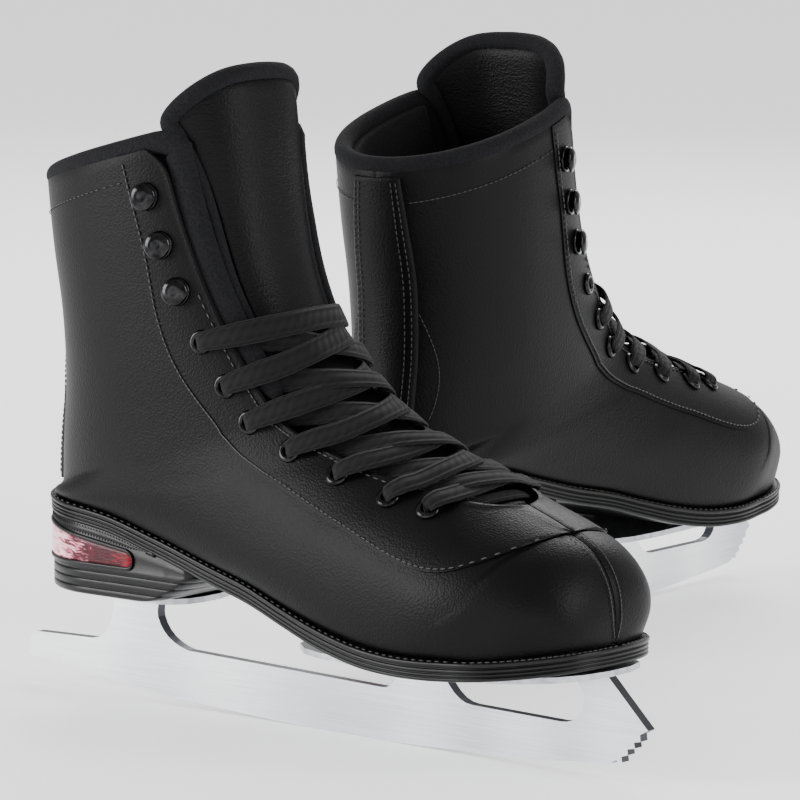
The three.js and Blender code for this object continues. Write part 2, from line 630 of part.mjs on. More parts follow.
function skate(name, yaw, mirrored, [x, y]) {
  const group = new THREE.Group();
  for (const [piece, geometry, [colour, metalness, roughness]] of skatePieces()) {
    const material = new THREE.MeshStandardMaterial({ color: colour, metalness, roughness });
    const mesh = new THREE.Mesh(geometry, material);
    mesh.name = `${name}_${piece}`;
    group.add(mesh);
  }
  group.scale.y = mirrored ? -1 : 1;
  group.rotation.z = THREE.MathUtils.degToRad(yaw);
  group.position.set(x, y, 0);
  return group;
}

const pair = new THREE.Group();
pair.add(skate('right', RIGHT_YAW, false, [0, 0]));
pair.add(skate('left', LEFT_YAW, true, LEFT_POSITION));
pair.updateMatrixWorld(true);
const box = new THREE.Box3().setFromObject(pair, true);
const centre = box.getCenter(new THREE.Vector3());
pair.position.set(-centre.x, -centre.y, -box.min.z);
pair.updateMatrixWorld(true);

export default pair;
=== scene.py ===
import functools
import json
import math

import bmesh
import bpy
from mathutils import Matrix, Vector


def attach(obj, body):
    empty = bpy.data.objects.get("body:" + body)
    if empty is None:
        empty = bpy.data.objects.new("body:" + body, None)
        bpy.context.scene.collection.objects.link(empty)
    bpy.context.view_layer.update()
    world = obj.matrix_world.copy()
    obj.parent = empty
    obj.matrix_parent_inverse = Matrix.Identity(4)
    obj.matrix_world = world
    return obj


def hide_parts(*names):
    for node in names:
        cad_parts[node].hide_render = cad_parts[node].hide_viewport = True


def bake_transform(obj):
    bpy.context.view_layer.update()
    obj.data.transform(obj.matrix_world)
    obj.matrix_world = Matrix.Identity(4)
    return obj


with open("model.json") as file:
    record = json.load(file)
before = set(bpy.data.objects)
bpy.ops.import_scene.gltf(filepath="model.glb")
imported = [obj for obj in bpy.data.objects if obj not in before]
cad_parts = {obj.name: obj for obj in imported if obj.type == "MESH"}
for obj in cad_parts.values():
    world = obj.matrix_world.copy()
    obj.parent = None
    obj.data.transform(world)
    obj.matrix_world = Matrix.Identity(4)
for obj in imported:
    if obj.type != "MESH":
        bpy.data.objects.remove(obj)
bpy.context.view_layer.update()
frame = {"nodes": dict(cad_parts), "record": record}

# Where the pair stands. Each skate is drawn in millimetres in its own frame, x from heel to
# toe, y to the wearer's left, z up from the ice; the left one is the right one mirrored.
MM = 0.001
YAW = {"right": math.radians(-40), "left": math.radians(54.2)}
FOLD = Vector((96.5, 0, 153.6))
SIDES = {"outer": -1, "inner": 1}
stand = {}
for joint in frame["record"]["behaviour"]["joints"]:
    if joint["type"] == "hinge":
        foot = joint["name"].split("_")[0]
        flip = -1 if foot == "left" else 1
        turn = Matrix.Rotation(YAW[foot], 4, "Z") @ Matrix.Diagonal((MM, MM * flip, MM, 1))
        stand[foot] = Matrix.Translation(Vector(joint["pos_m"]) - (turn @ FOLD)) @ turn

# Camera: a long lens a little above the collars, looking slightly down across both skates.
LENS_DISTANCE, LENS_MM, SENSOR_MM = 1800, 220.968, 36
LENS_RISE = math.radians(7.92)
AIM_POINT = Vector((107.7, 0, 108.7))
aim = stand["right"].translation + AIM_POINT * MM
camera = bpy.data.objects.new("camera", bpy.data.cameras.new("camera"))
bpy.context.scene.collection.objects.link(camera)
away = Vector((0, -math.cos(LENS_RISE), math.sin(LENS_RISE))) * LENS_DISTANCE * MM
camera.location = aim + away
camera.rotation_euler = (math.pi / 2 - LENS_RISE, 0, 0)
camera.data.sensor_width = SENSOR_MM
camera.data.lens = LENS_MM
camera.data.clip_start = 0.1
bpy.context.scene.camera = camera


# Colour and material makers used by every piece from here on.
def tint(hexa):
    """sRGB hex to the linear colour that the shader wants."""
    parts = [int(hexa[k:k + 2], 16) / 255 for k in (1, 3, 5)]
    return tuple(p / 12.92 if p < 0.04045 else ((p + 0.055) / 1.055) ** 2.4 for p in parts) + (1,)


def add(tree, kind, settings=None, **links):
    """One node with its settings; each link names an input and the output that feeds it."""
    node = tree.nodes.new(kind)
    for key, value in (settings or {}).items():
        if isinstance(key, int) or key in node.inputs:
            node.inputs[key].default_value = value
        else:
            setattr(node, key, value)
    for key, source in links.items():
        place = int(key[1:]) if key[1:].isdigit() else key.replace("_", " ")
        tree.links.new(source, node.inputs[place])
    return node


def finish_named(name, **settings):
    material = bpy.data.materials.new(name)
    material.use_nodes = True
    shader = material.node_tree.nodes["Principled BSDF"]
    for key, value in settings.items():
        shader.inputs[key.replace("_", " ")].default_value = value
    return material, material.node_tree, shader


def ramp(node, stops):
    band = node.color_ramp
    while len(band.elements) < len(stops):
        band.elements.new(0.5)
    for element, (at, colour) in zip(band.elements, stops):
        element.position = at
        element.color = tint(colour)


def coloured(tree, shader, pattern, stops):
    band = add(tree, "ShaderNodeValToRGB", Fac=pattern)
    ramp(band, stops)
    tree.links.new(band.outputs[0], shader.inputs["Base Color"])


def glossed(tree, shader, pattern, least, most):
    spread = add(tree, "ShaderNodeMapRange", {"To Min": least, "To Max": most}, Value=pattern)
    tree.links.new(spread.outputs[0], shader.inputs["Roughness"])


def bumped(tree, shader, pattern, strength, distance):
    bump = add(tree, "ShaderNodeBump", {"Strength": strength, "Distance": distance}, Height=pattern)
    tree.links.new(bump.outputs[0], shader.inputs["Normal"])


def piece(name, bm, material, body, replaces=(), smooth=True, mods=()):
    """Sets a finished bmesh down in the scene and fixes it to its body."""
    mesh = bpy.data.meshes.new(name)
    bm.to_mesh(mesh)
    bm.free()
    obj = bpy.data.objects.new(name, mesh)
    bpy.context.scene.collection.objects.link(obj)
    mesh.materials.append(material)
    for face in mesh.polygons:
        face.use_smooth = smooth
    for kind, settings in mods:
        modifier = obj.modifiers.new(kind.title(), kind)
        for key, value in settings.items():
            setattr(modifier, key, value)
    if replaces:
        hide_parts(*replaces)
    if body:
        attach(obj, body)
    return obj


def pair_of(name, bm, material, replaces=(), body="boot", **how):
    """The same piece on both skates; the left one is mirrored, with its faces turned out."""
    made = []
    for foot in ("right", "left"):
        half = bm.copy()
        half.transform(stand[foot])
        if foot == "left":
            bmesh.ops.reverse_faces(half, faces=half.faces)
        made.append(piece(f"{foot}_{name}", half, material, body and f"{foot}_{body}",
                          [f"{foot}_{node}" for node in replaces], **how))
    bm.free()
    return made


# The floor and the light of the studio: a wide pale sweep, a soft light to each side at boot
# height, one behind and above, and a low strip in front that runs along the steel.
paper, paper_tree, paper_shader = finish_named("matt_background_paper", Roughness=0.9)
paper_shader.inputs["Base Color"].default_value = tint("#fbfbfb")
paper_shader.inputs["Emission Color"].default_value = tint("#ffffff")
paper_shader.inputs["Emission Strength"].default_value = 0.72
bm = bmesh.new()
bmesh.ops.create_grid(bm, x_segments=1, y_segments=1, size=6)
floor = piece("studio_floor", bm, paper, None, smooth=False)


LIGHTS_AIM = Vector((0, 0, 0.12))


def softbox(name, place, size, power):
    light = bpy.data.lights.new(name, "AREA")
    light.shape = "RECTANGLE"
    light.size, light.size_y = size
    light.energy = power
    obj = bpy.data.objects.new(name, light)
    obj.location = place
    obj.rotation_euler = (LIGHTS_AIM - obj.location).to_track_quat("-Z", "Y").to_euler()
    bpy.context.scene.collection.objects.link(obj)


softbox("key_light", (-1.8, -0.5, 0.6), (0.9, 1.1), 44)
softbox("right_light", (1.7, -0.9, 0.8), (0.6, 1.1), 22)
softbox("back_light", (0.4, 1.6, 1.3), (1.4, 0.8), 26)
softbox("low_light", (-0.2, -1.9, 0.25), (2.2, 0.5), 7)
world = bpy.data.worlds.new("studio_air")
bpy.context.scene.world = world
world.use_nodes = True
world.node_tree.nodes["Background"].inputs[0].default_value = tint("#ffffff")
world.node_tree.nodes["Background"].inputs[1].default_value = 0.7


# The last: the foot-shaped form that the whole upper is pulled over. Its sections run from above
# the collar (-1), past the heel (5), to the toe tip (15); across, 0 is the middle of the front.
def through(stations):
    """A smooth curve through (position, value) stations, flat past both ends."""
    @functools.lru_cache(maxsize=None)
    def value(at):
        last = len(stations) - 1
        if at <= stations[0][0]:
            return stations[0][1]
        if at >= stations[last][0]:
            return stations[last][1]
        k = next(i for i in range(last) if stations[i + 1][0] >= at)

        def slope(i):
            a, b = stations[max(0, i - 1)], stations[min(last, i + 1)]
            return (b[1] - a[1]) / (b[0] - a[0])
        (x0, y0), (x1, y1) = stations[k], stations[k + 1]
        h = x1 - x0
        t = (at - x0) / h
        return ((2 * t**3 - 3 * t**2 + 1) * y0 + (t**3 - 2 * t**2 + t) * h * slope(k)
                + (3 * t**2 - 2 * t**3) * y1 + (t**3 - t**2) * h * slope(k + 1))
    return value


HEEL_CENTRE, HEEL_CAP, HEEL_HALF = 15, 32, 31
TOE_CENTRE, TOE_CAP, TOE_POWER = 195, 52, 2.4
FEATHER_INSET, FEATHER_RISE = 3.5, 0.6
sole_side = through([(15, 31), (60, 30), (95, 33.5), (140, 41), (172, 44.5), (195, 43)])
sole_top = through([(-17, 77), (25, 73), (50, 66.8), (75, 60.3), (98, 55.3), (115, 50.5),
                    (135, 45.5), (155, 42), (176, 40.7), (200, 41.6), (222, 43.6), (247, 46.2)])
sole_bottom = through([(-17, 71.3), (25, 67), (50, 60.5), (75, 53.8), (98, 48.8), (115, 44),
                       (135, 38.6), (155, 35), (172, 34), (190, 34.2), (215, 36.3), (247, 39.8)])


# The toe is drawn in, shorter and slimmer the nearer the tip.
TOE_DRAW_FROM, TOE_DRAW_TO, TOE_DRAW_BACK, TOE_DRAW_SLIM = 180, 247, 9, 0.16


def drawn_toe(point):
    share = (max(0, point.x - TOE_DRAW_FROM) / (TOE_DRAW_TO - TOE_DRAW_FROM)) ** 2
    point.x -= TOE_DRAW_BACK * share
    point.y *= 1 - TOE_DRAW_SLIM * share
    return point


def sole_half(x, inset):
    side = sole_side(x) - inset
    if x < HEEL_CENTRE:
        return side * math.sqrt(1 - min(1, (HEEL_CENTRE - x) / (HEEL_CAP - inset)) ** 2)
    if x > TOE_CENTRE:
        reach = min(1, (x - TOE_CENTRE) / (TOE_CAP - inset))
        return side * (1 - reach**TOE_POWER) ** (1 / TOE_POWER)
    return side


feather_x = through([(7, 15), (8, 60), (9, 102), (10, 143), (11, 178), (12, 200)])


def feather(v):
    if v <= 7:
        angle = math.radians(45 * (v - 5))
        x = HEEL_CENTRE - (HEEL_CAP - FEATHER_INSET) * math.cos(angle)
        return x, (HEEL_HALF - FEATHER_INSET) * math.sin(angle), sole_top(x) + FEATHER_RISE
    if v <= 12:
        x = feather_x(v)
    else:
        turn = math.radians(4 + 86 * (v - 12) / 3)
        x = TOE_CENTRE + (TOE_CAP - FEATHER_INSET) * math.sin(turn) ** (2 / TOE_POWER)
    return x, sole_half(x, FEATHER_INSET), sole_top(x) + FEATHER_RISE


front_x = through([(-1, 80), (0, 84), (1, 87), (2, 93), (3, 104), (4, 118), (5, 130), (6, 142),
                   (7, 156), (8, 170), (9, 184), (10, 198), (11, 214), (12, 231), (13, 241),
                   (14, 244.3), (15, 243.5)])
front_z = through([(-1, 238), (0, 212), (1, 187), (2, 163), (3, 143), (4, 129), (5, 120.5),
                   (6, 113.5), (7, 107), (8, 101), (9, 95.5), (10, 90), (11, 84.7), (12, 78),
                   (13, 68), (14, 57), (15, 46.6)])
back_x = through([(-1, -15), (0, -14), (1, -12), (2, -9), (3, -9), (4, -12), (5, -13.5)])
back_z = through([(-1, 211), (0, 187), (1, 165), (2, 142), (3, 118), (4, 97), (5, 77.4)])
half_width = through([(-1, 41), (0, 40), (1, 39), (2, 38), (3, 37), (4, 36), (5, 35.5), (6, 35.5),
                      (7, 36), (8, 38), (9, 41), (10, 43.5), (11, 44), (12, 40.8), (13, 34.8),
                      (14, 21.8), (15, 1)])
widest_at = through([(0, 0.5), (5, 0.5), (7, 0.55), (9, 0.6), (11, 0.66), (15, 0.7)])
front_power = through([(0, 2.5), (3, 2.5), (6, 2.2), (15, 2.3)])
BACK_POWER = 2.1


def last(v, t, away=0.0):
    """A point of the last in mm, away from its surface by a distance."""
    if away:
        step = 0.01
        dv = last(v + step, t) - last(v - step, t)
        up = min(t + step, 1)
        dt = last(v, up) - last(v, up - 2 * step)
        return last(v, t) + dv.cross(dt).normalized() * away
    front = front_x(v), front_z(v)
    back = (back_x(v), 0, back_z(v)) if v < 5 else feather(v)
    widest, wide, angle = widest_at(v), half_width(v), abs(t) * math.pi
    if angle <= math.pi / 2:
        power = 2 / front_power(v)
        along = widest * (1 - max(0, math.cos(angle)) ** power)
        out = wide * math.sin(angle) ** power
    else:
        power = 2 / BACK_POWER
        along = widest + (1 - widest) * math.sin(angle - math.pi / 2) ** power
        out = back[1] + (wide - back[1]) * max(0, math.cos(angle - math.pi / 2)) ** power
    return drawn_toe(Vector((front[0] + (back[0] - front[0]) * along, math.copysign(out, t),
                             front[1] + (back[2] - front[1]) * along)))


def t_at_width(v, width):
    share = min(1, max(0, width / half_width(v)))
    return math.asin(share ** (front_power(v) / 2)) / math.pi


throat = through([(-0.4, 37), (0, 36), (1, 33.5), (2, 31), (3, 29), (4, 28), (5, 27), (6, 26),
                  (7, 25), (8, 23.5), (9, 20), (9.6, 14), (9.9, 7), (10, 0.3)])
edge_t = lambda v: t_at_width(v, throat(v))
seam_t = through([(0, 0.46), (1.35, 0.435), (2.5, 0.44), (3.35, 0.43), (4.85, 0.395), (6.3, 0.395),
                  (8, 0.4), (9.9, 0.39), (10.6, 0.355), (11, 0.27), (11.25, 0.16), (11.33, 0.06),
                  (11.36, 0.0), (12, 0.0)])


def shaped_grid(rows, columns, place, outward=None, close_across=False):
    """A grid pulled to shape: place gives each point from its two fractions, in mm."""
    bm = bmesh.new()
    uv = bm.loops.layers.uv.new("UVMap")
    bmesh.ops.create_grid(bm, x_segments=rows, y_segments=columns, size=0.5)
    spots = {}
    for vert in bm.verts:
        spots[vert] = (vert.co.x + 0.5, vert.co.y + 0.5)
    for face in bm.faces:
        for loop in face.loops:
            loop[uv].uv = spots[loop.vert]
    for vert, (a, b) in spots.items():
        vert.co = place(min(1, max(0, a)), min(1, max(0, b)))
    if close_across:
        bmesh.ops.remove_doubles(bm, verts=bm.verts, dist=0.004)
        bmesh.ops.holes_fill(bm, edges=[e for e in bm.edges if e.is_boundary], sides=0)
        bmesh.ops.recalc_face_normals(bm, faces=bm.faces)
    elif outward:
        middle = min(bm.faces, key=lambda f: (f.calc_center_median() - place(0.5, 0.5)).length)
        middle.normal_update()
        if middle.normal.dot(outward(0.5, 0.5) - place(0.5, 0.5)) < 0:
            bmesh.ops.reverse_faces(bm, faces=bm.faces)
    return bm


# Where the lace holes sit: a fixed way behind the folded throat edge, hooks above, eyelets below.
EYELET_MARGIN = 10.5
EYELETS = (2.88, 3.8, 4.85, 6.3, 7.45, 8.45, 9.15)
HOOKS = (0.6, 1.33, 2.04)


@functools.lru_cache(maxsize=None)
def behind_edge(v, margin):
    """Place across, t, that lies a distance in mm behind the throat edge."""
    t, walked = edge_t(v), 0
    before = last(v, t)
    while walked < margin:
        t += 0.004
        here = last(v, t)
        walked += (here - before).length
        before = here
    return t


def hole_at(v, side):
    """Point and outward normal of a lace hole."""
    t = behind_edge(v, EYELET_MARGIN)
    point, outer = last(v, t), last(v, t, 1)
    point.y *= side
    outer.y *= side
    return point, (outer - point).normalized()


# Laces: one flat woven polyester lace to each boot, 9 mm wide, about eight ribs lengthwise. It
# runs in under the bottom pair, comes up out of each eyelet, crosses the tongue and dives under
# the other facing; at the top pair one end lies straight across and both ends are tucked in.
LACE_WIDTH, LACE_THICK = 9.0, 1.15
lace_weave, lace_tree, lace_shader = finish_named(
    "flat_woven_polyester", Roughness=0.8, Specular_IOR_Level=0.2,
    Sheen_Weight=0.03, Sheen_Roughness=0.5)
across_lace = add(lace_tree, "ShaderNodeUVMap").outputs[0]
rib = add(lace_tree, "ShaderNodeMapping", {"Scale": (0, 5, 0)}, Vector=across_lace)
ribs = add(lace_tree, "ShaderNodeTexWave", {"Scale": 0.314, "bands_direction": "Y"},
           Vector=rib.outputs[0])
slant = add(lace_tree, "ShaderNodeMapping", {"Scale": (620, 8, 0)}, Vector=across_lace)
plait = add(lace_tree, "ShaderNodeTexWave",
            {"Scale": 0.314, "bands_direction": "DIAGONAL", "Distortion": 0.6},
            Vector=slant.outputs[0])
woven = add(lace_tree, "ShaderNodeMath", {"operation": "MULTIPLY_ADD", 1: 0.5},
            _0=plait.outputs["Fac"], _2=ribs.outputs["Fac"]).outputs[0]
bumped(lace_tree, lace_shader, woven, 0.8, 0.0004)
coloured(lace_tree, lace_shader, woven, [(0.1, "#040405"), (1.0, "#0e0e0f")])


def across_throat(v, side, reach, away):
    """A point over the throat; reach 0 is the middle and 1 a lace hole on that side."""
    hole = hole_at(v, side)[0]
    wide = abs(hole.y) * reach
    t = max(0.0015, t_at_width(v, wide))
    point, outer = last(v, t, away), last(v, t, away + 1)
    for p in (point, outer):
        p.y *= side
    point.y = wide * side if reach < 0.2 else point.y
    return point, (outer - point).normalized()


def crossing(v, side, onward, over):
    """Out of a hole, over the tongue and in under the facing to the next hole up."""
    yield across_throat(v, side, 1.0, -1.2), 0.62
    yield across_throat(v, side, 1.0, 2.6), 0.72
    yield across_throat(v + 0.1 * (onward - v), side, 0.86, 3.0), 0.95
    yield across_throat(v + 0.2 * (onward - v), side, 0.68, 1.7), 1.0
    yield across_throat(v + 0.38 * (onward - v), side, 0.34, 0.2 + over), 1.0
    yield across_throat(v + 0.53 * (onward - v), side, 0.02, 0.1 + over), 1.0
    yield across_throat(v + 0.7 * (onward - v), -side, 0.34, 0.0 + over * 0.7), 1.0
    yield across_throat(v + 0.86 * (onward - v), -side, 0.62, -1.3), 1.0
    yield across_throat(v + 0.95 * (onward - v), -side, 0.8, -2.5), 0.8


LACE_FOOT = 9.25


def lace_route():
    spots = []
    for side, over in ((1, 1.5), (-1, 0.0)):
        climb = []
        here = side
        for low, high in zip(EYELETS[::-1], EYELETS[-2::-1]):
            climb += list(crossing(low, here, high, over))
            here = -here
        top = EYELETS[0]
        if here == -1:
            climb += [(across_throat(top, here, 1.0, -1.2), 0.55),
                      (across_throat(top, here, 1.0, 2.6), 0.72),
                      (across_throat(top, here, 0.84, 3.2), 0.95),
                      (across_throat(top - 0.02, here, 0.6, 2.2), 1.0),
                      (across_throat(top - 0.04, here, 0.3, 1.9), 1.0),
                      (across_throat(top - 0.06, here, 0.0, 1.9), 1.0),
                      (across_throat(top - 0.07, -here, 0.34, 1.6), 1.0),
                      (across_throat(top - 0.08, -here, 0.62, 0.6), 1.0),
                      (across_throat(top - 0.08, -here, 0.78, -2.0), 0.9)]
        spots.append(climb)
    bottom = [(across_throat(LACE_FOOT, 1 if r >= 0 else -1, abs(r), -2.2), 0.6)
              for r in (0.8, 0.4, 0.0, -0.4, -0.8)]
    return spots[0][::-1] + bottom + spots[1]


def smoothed(spots, steps):
    """An even run through the spots: point, normal and share of the width at each step."""
    points = [p for (p, n), w in spots]
    normals = [n for (p, n), w in spots]
    widths = [w for s, w in spots]
    walk = [0.0]
    for a, b in zip(points, points[1:]):
        walk.append(walk[-1] + (b - a).length)
    curves = [through([(s, p[axis]) for s, p in zip(walk, points)]) for axis in range(3)]
    tilts = [through([(s, n[axis]) for s, n in zip(walk, normals)]) for axis in range(3)]
    width = through(list(zip(walk, widths)))
    out = []
    for k in range(steps + 1):
        s = walk[-1] * k / steps
        normal = Vector([c(s) for c in tilts]).normalized()
        out.append((Vector([c(s) for c in curves]), normal, width(s)))
    return out


LACE_STEPS = 640
lace_line = smoothed(lace_route(), LACE_STEPS)
bm = bmesh.new()
uv = bm.loops.layers.uv.new("UVMap")
bmesh.ops.create_grid(bm, x_segments=LACE_STEPS, y_segments=10, size=0.5)
spot = {vert: (vert.co.x + 0.5, vert.co.y + 0.5) for vert in bm.verts}
for face in bm.faces:
    for loop in face.loops:
        a, b = spot[loop.vert]
        loop[uv].uv = (a, abs(2 * b - 1))
for vert, (a, b) in spot.items():
    k = round(a * LACE_STEPS)
    point, normal, share = lace_line[k]
    ahead = (lace_line[min(k + 1, LACE_STEPS)][0] - lace_line[max(k - 1, 0)][0]).normalized()
    side = ahead.cross(normal).normalized()
    up = side.cross(ahead).normalized()
    turn = 2 * math.pi * b
    c, s = math.cos(turn), math.sin(turn)
    vert.co = (point + side * (LACE_WIDTH * share / 2 * math.copysign(abs(c) ** 0.6, c))
               + up * (LACE_THICK / 2 * (1.5 - 0.5 * share) * math.copysign(abs(s) ** 0.6, s)))
bmesh.ops.remove_doubles(bm, verts=bm.verts, dist=0.002)
bmesh.ops.holes_fill(bm, edges=[e for e in bm.edges if e.is_boundary], sides=0)
bmesh.ops.recalc_face_normals(bm, faces=bm.faces)
centre = [p for p, n, w in lace_line]
lace_length = sum((b - a).length for a, b in zip(centre, centre[1:])) * MM
for foot, obj in zip(("right", "left"), pair_of("flat_lace", bm, lace_weave, ["lace"])):
    way = [stand[foot] @ p for p in centre]
    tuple(way[0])


# Leather of the upper: black polyurethane-coated split, plated with a fine pebble and polished
# to a satin, so highlights are broad and broken by the grain. The pebbles are 0.8 mm across.
PEBBLE = 0.8


def pebbled(name, crease=0.0, rough=0.42, strength=0.22):
    material, tree, shader = finish_named(name, Roughness=rough, IOR=1.5, Specular_IOR_Level=0.1)
    place = add(tree, "ShaderNodeTexCoord").outputs["Object"]
    pebbles = add(tree, "ShaderNodeTexVoronoi",
                  {"Scale": 1000 / PEBBLE, "feature": "SMOOTH_F1", "Smoothness": 0.6}, Vector=place)
    pores = add(tree, "ShaderNodeTexNoise", {"Scale": 900, "Detail": 3, "Roughness": 0.6},
                Vector=place)
    wear = add(tree, "ShaderNodeTexNoise", {"Scale": 22, "Detail": 4}, Vector=place).outputs["Fac"]
    height = add(tree, "ShaderNodeMath", {"operation": "MULTIPLY_ADD", 1: 0.45},
                 _0=pores.outputs["Fac"], _2=pebbles.outputs["Distance"]).outputs[0]
    if crease:
        squeeze = add(tree, "ShaderNodeMapping", {"Scale": (0.25, 0.25, 1.6)}, Vector=place)
        folds = add(tree, "ShaderNodeTexNoise", {"Scale": 700, "Detail": 2, "Distortion": 0.4},
                    Vector=squeeze.outputs[0])
        height = add(tree, "ShaderNodeMath", {"operation": "MULTIPLY_ADD", 1: crease},
                     _0=folds.outputs["Fac"], _2=height).outputs[0]
    bumped(tree, shader, height, strength, 0.0005)
    coloured(tree, shader, wear, [(0.3, "#050506"), (0.7, "#0a0a0b")])
    glossed(tree, shader, wear, rough - 0.05, rough + 0.09)
    return material


leather = pebbled("pebbled_coated_leather")
tongue_leather = pebbled("creased_coated_leather", crease=0.9, rough=0.4, strength=0.3)

# Sewing thread: bonded black nylon, a tight round twist with a slight sheen.
thread, thread_tree, thread_shader = finish_named("bonded_nylon_thread", Roughness=0.45, IOR=1.53)
thread_shader.inputs["Base Color"].default_value = tint("#29292a")
twist = add(thread_tree, "ShaderNodeTexWave", {"Scale": 2400, "Distortion": 1.0},
            Vector=add(thread_tree, "ShaderNodeTexCoord").outputs["Object"])
bumped(thread_tree, thread_shader, twist.outputs["Fac"], 0.3, 0.0002)


def stitched(bm, place, count, lift=0.25, length=2.0, width=0.42, fractions=(0, 1)):
    """A row of lockstitches along a line on the surface; place gives point and outward normal."""
    for k in range(count):
        at = fractions[0] + (fractions[1] - fractions[0]) * (k + 0.5) / count
        point, normal = place(at)
        ahead = (place(min(1, at + 0.002))[0] - place(max(0, at - 0.002))[0]).normalized()
        side = normal.cross(ahead).normalized()
        basis = Matrix((ahead, side, normal)).transposed().to_4x4()
        basis.translation = point + normal * lift
        bmesh.ops.create_uvsphere(bm, u_segments=6, v_segments=4, radius=0.5,
                                  matrix=basis @ Matrix.Diagonal((length, width, width, 1)))


def last_line(v_at, t_at, side, away):
    """Point and normal on the last, along a line given by its section and its place across."""
    def place(a):
        v, t = v_at(a), max(0.001, t_at(a))
        point, outer = last(v, t, away), last(v, t, away + 1)
        point.y *= side
        outer.y *= side
        return point, (outer - point).normalized()
    return place


# Quarters: one long leather panel on each side, lasted from the back seam to the seam down the
# middle of the toe, its lower edge drawn in under the welt and cemented.
QUARTER_SKIN = 1.8
for side_name, side in SIDES.items():
    def quarter_at(a, b, away=0.0):
        v = -0.06 + 15.03 * a
        start = max(0.0, seam_t(v) - 0.03)
        t = start + (1 - start) * b
        valley = 0.55 * max(0, 1 - b / 0.03) if v > 11 else 0
        p = last(v, max(0.0012, t), away - valley)
        p.y = max(p.y, 0.02) * side
        return p
    bm = shaped_grid(96, 36, quarter_at, lambda a, b: quarter_at(a, b, 1))
    pair_of(f"{side_name}_quarter_leather", bm, leather, [f"{side_name}_quarter"],
            mods=[("SOLIDIFY", {"thickness": QUARTER_SKIN * MM, "offset": -1}),
                  ("BEVEL", {"width": 0.0004, "segments": 2, "limit_method": "ANGLE"})])

# Facings: the lacing panels, laid over the quarters and sewn down along their back edge; the
# throat edge is folded over a thin cord, which leaves a bright narrow bead.
FACING_LIFT = 0.55
for side_name, side in SIDES.items():
    def facing_at(a, b, away=0.0):
        v = -0.06 + 11.4 * a
        start = edge_t(v) + 0.04 * max(0, 1 - a / 0.04) ** 2
        stop = max(start + 0.004, seam_t(v))
        t = start + (stop - start) * b
        bead = 0.35 * math.exp(-((b - 0.05) / 0.04) ** 2)
        p = last(v, max(0.0012, t), FACING_LIFT + bead + away)
        p.y = max(p.y, 0.04) * side
        return p
    bm = shaped_grid(96, 20, facing_at, lambda a, b: facing_at(a, b, 1))
    pair_of(f"{side_name}_facing_leather", bm, leather, [f"{side_name}_facing"],
            mods=[("SOLIDIFY", {"thickness": 0.0016, "offset": -1}),
                  ("BEVEL", {"width": 0.0006, "segments": 3, "limit_method": "ANGLE"})])

# Backstay: a strap of the same leather over the back seam, from collar to sole.
backstay_half = through([(0, 0.078), (0.8, 0.096), (1.8, 0.112), (4.9, 0.118)])


def backstay_at(a, b, away=0.0):
    v = 0.03 + 4.87 * a
    across = 2 * b - 1
    rim = 1.3 * max(0, abs(across) - 0.9) / 0.1
    p = last(v, 1 - backstay_half(v) * abs(across), 1.5 - rim * 0.8 + away)
    p.y = p.y if across >= 0 else -p.y
    return p


bm = shaped_grid(60, 24, backstay_at, lambda a, b: backstay_at(a, b, 1))
pair_of("backstay_leather", bm, leather, ["backstay"],
        mods=[("SOLIDIFY", {"thickness": 0.0012, "offset": -1}),
              ("BEVEL", {"width": 0.0004, "segments": 2, "limit_method": "ANGLE"})])

# Seams: lockstitch in thread a shade lighter than the leather, about nine stitches to the inch.
bm = bmesh.new()
for side in SIDES.values():
    facing_row = (lambda a: 0.05 + 11.28 * a, lambda a: max(0.01, seam_t(0.05 + 11.28 * a) - 0.012))
    collar_row = (lambda a: 0.48 - 0.16 * a, lambda a: 0.9 - 0.46 * a)
    throat_row = (lambda a: 2.1 + 6.4 * a, lambda a: behind_edge(2.1 + 6.4 * a, 3.6))
    toe_row = (lambda a: 11.42 + 3.4 * a, lambda a: 0.018 + 0.03 * a ** 3)
    heel_arch = (lambda a: 1.9 + 2.3 * a, lambda a: 0.93 - 0.11 * math.sin(a * 2.2))
    stitched(bm, last_line(*facing_row, side, FACING_LIFT + 0.15), 112, length=2.3, width=0.6)
    stitched(bm, last_line(*collar_row, side, 0.1), 30)
    stitched(bm, last_line(*throat_row, side, FACING_LIFT + 0.1), 42, length=2.4, width=0.6)
    stitched(bm, last_line(*toe_row, side, 0.05), 24)
    stitched(bm, last_line(*heel_arch, side, 0.1), 28)
    for inset in (0.82, 0.64):
        row = (lambda a: 0.1 + 4.7 * a, lambda a: 1 - inset * backstay_half(0.1 + 4.7 * a))
        stitched(bm, last_line(*row, side, 1.6), 46)
pair_of("upper_stitching", bm, thread)

# Knit lining and collar roll: brushed nylon knit over foam. The roll is sewn round the collar
# and runs on down both throat edges as a padded band.
knit, knit_tree, knit_shader = finish_named(
    "brushed_nylon_knit", Roughness=0.95, Specular_IOR_Level=0.15,
    Sheen_Weight=0.05, Sheen_Roughness=0.6)
knit_shader.inputs["Sheen Tint"].default_value = tint("#6a6a6e")
knit_place = add(knit_tree, "ShaderNodeTexCoord").outputs["Object"]
loops = add(knit_tree, "ShaderNodeTexVoronoi", {"Scale": 950}, Vector=knit_place)
nap = add(knit_tree, "ShaderNodeTexNoise", {"Scale": 1600, "Detail": 4}, Vector=knit_place)
fuzz = add(knit_tree, "ShaderNodeMath", {"operation": "MULTIPLY_ADD", 1: 0.6},
           _0=loops.outputs["Distance"], _2=nap.outputs["Fac"]).outputs[0]
bumped(knit_tree, knit_shader, fuzz, 0.6, 0.0006)
coloured(knit_tree, knit_shader, fuzz, [(0.3, "#08080a"), (1.0, "#18181a")])

